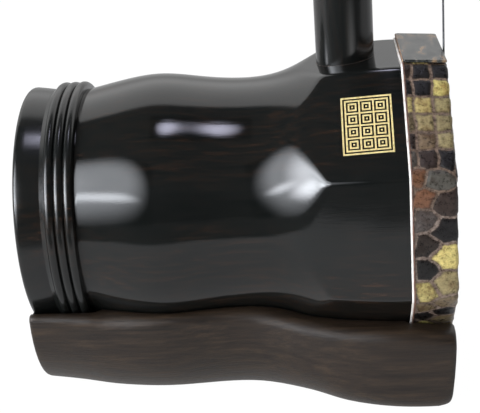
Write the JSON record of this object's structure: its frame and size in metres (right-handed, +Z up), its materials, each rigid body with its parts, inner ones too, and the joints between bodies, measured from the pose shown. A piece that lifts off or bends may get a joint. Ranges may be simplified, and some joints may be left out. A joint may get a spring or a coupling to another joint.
{
  "type": "two-stringed spike fiddle",
  "caption": "Two-stringed bowed fiddle: lacquered soundbox, octagonal at its snakeskin face and round at the back, on a carved cradle base, with a long neck and two rear tuning pegs.",
  "frame": {"origin": "middle of the base's flat underside, below the soundbox's half length", "axes": "+X the way the skin faces, +Z up the neck, +Y to the left of someone who looks along +X"},
  "size_m": [0.144, 0.0912, 0.765],
  "materials": {
    "lacquered_blackwood": "black wood under a clear, very glossy lacquer, with a faint reddish-brown grain",
    "satin_blackwood": "dark brown wood, satin, with a fine grain along its length",
    "python_skin": "scaled snakeskin: yellow-olive, dark brown and black scales with pale seams",
    "white_edging": "off-white edging line",
    "dark_horn": "dark polished horn, rubbed by the bow",
    "gold_leaf": "matt gold inlay",
    "bone": "polished bone",
    "string_steel": "bright string wire",
    "brass": "satin brass",
    "cotton_thread": "dark red twisted cotton thread"
  },
  "bodies": {
    "body": {"stave_far": "lacquered_blackwood", "stave_top_far": "lacquered_blackwood", "stave_top": "lacquered_blackwood", "stave_top_near": "lacquered_blackwood", "stave_near": "lacquered_blackwood", "stave_bottom_near": "lacquered_blackwood", "stave_bottom": "lacquered_blackwood", "stave_bottom_far": "lacquered_blackwood", "rear_collar": "lacquered_blackwood", "sound_window": "lacquered_blackwood", "python_skin": "python_skin", "skin_edging": "white_edging", "bow_guard": "dark_horn", "seal_inlay": "gold_leaf", "neck": "lacquered_blackwood", "head_cap": "bone", "inner_string": "string_steel", "outer_string": "string_steel", "tail_hook": "brass", "base": "satin_blackwood", "base_screw": "brass"},
    "upper_peg": {"peg_upper": "lacquered_blackwood", "peg_button_upper": "bone", "inner_winding": "string_steel"},
    "lower_peg": {"peg_lower": "lacquered_blackwood", "peg_button_lower": "bone", "outer_winding": "string_steel"},
    "thread_loop": {"qianjin": "cotton_thread"}
  },
  "joints": [
    {"name": "upper_peg_turn", "type": "hinge", "parent": "body", "child": "upper_peg", "pos_m": [0.0355, 0, 0.668], "axis": [1, 0, 0], "continuous": true},
    {"name": "lower_peg_turn", "type": "hinge", "parent": "body", "child": "lower_peg", "pos_m": [0.0355, 0, 0.59], "axis": [1, 0, 0], "continuous": true},
    {"name": "thread_loop_slide", "type": "slide", "parent": "body", "child": "thread_loop", "axis": [0, 0, 1], "range_m": [-0.012, 0.012]}
  ]
}
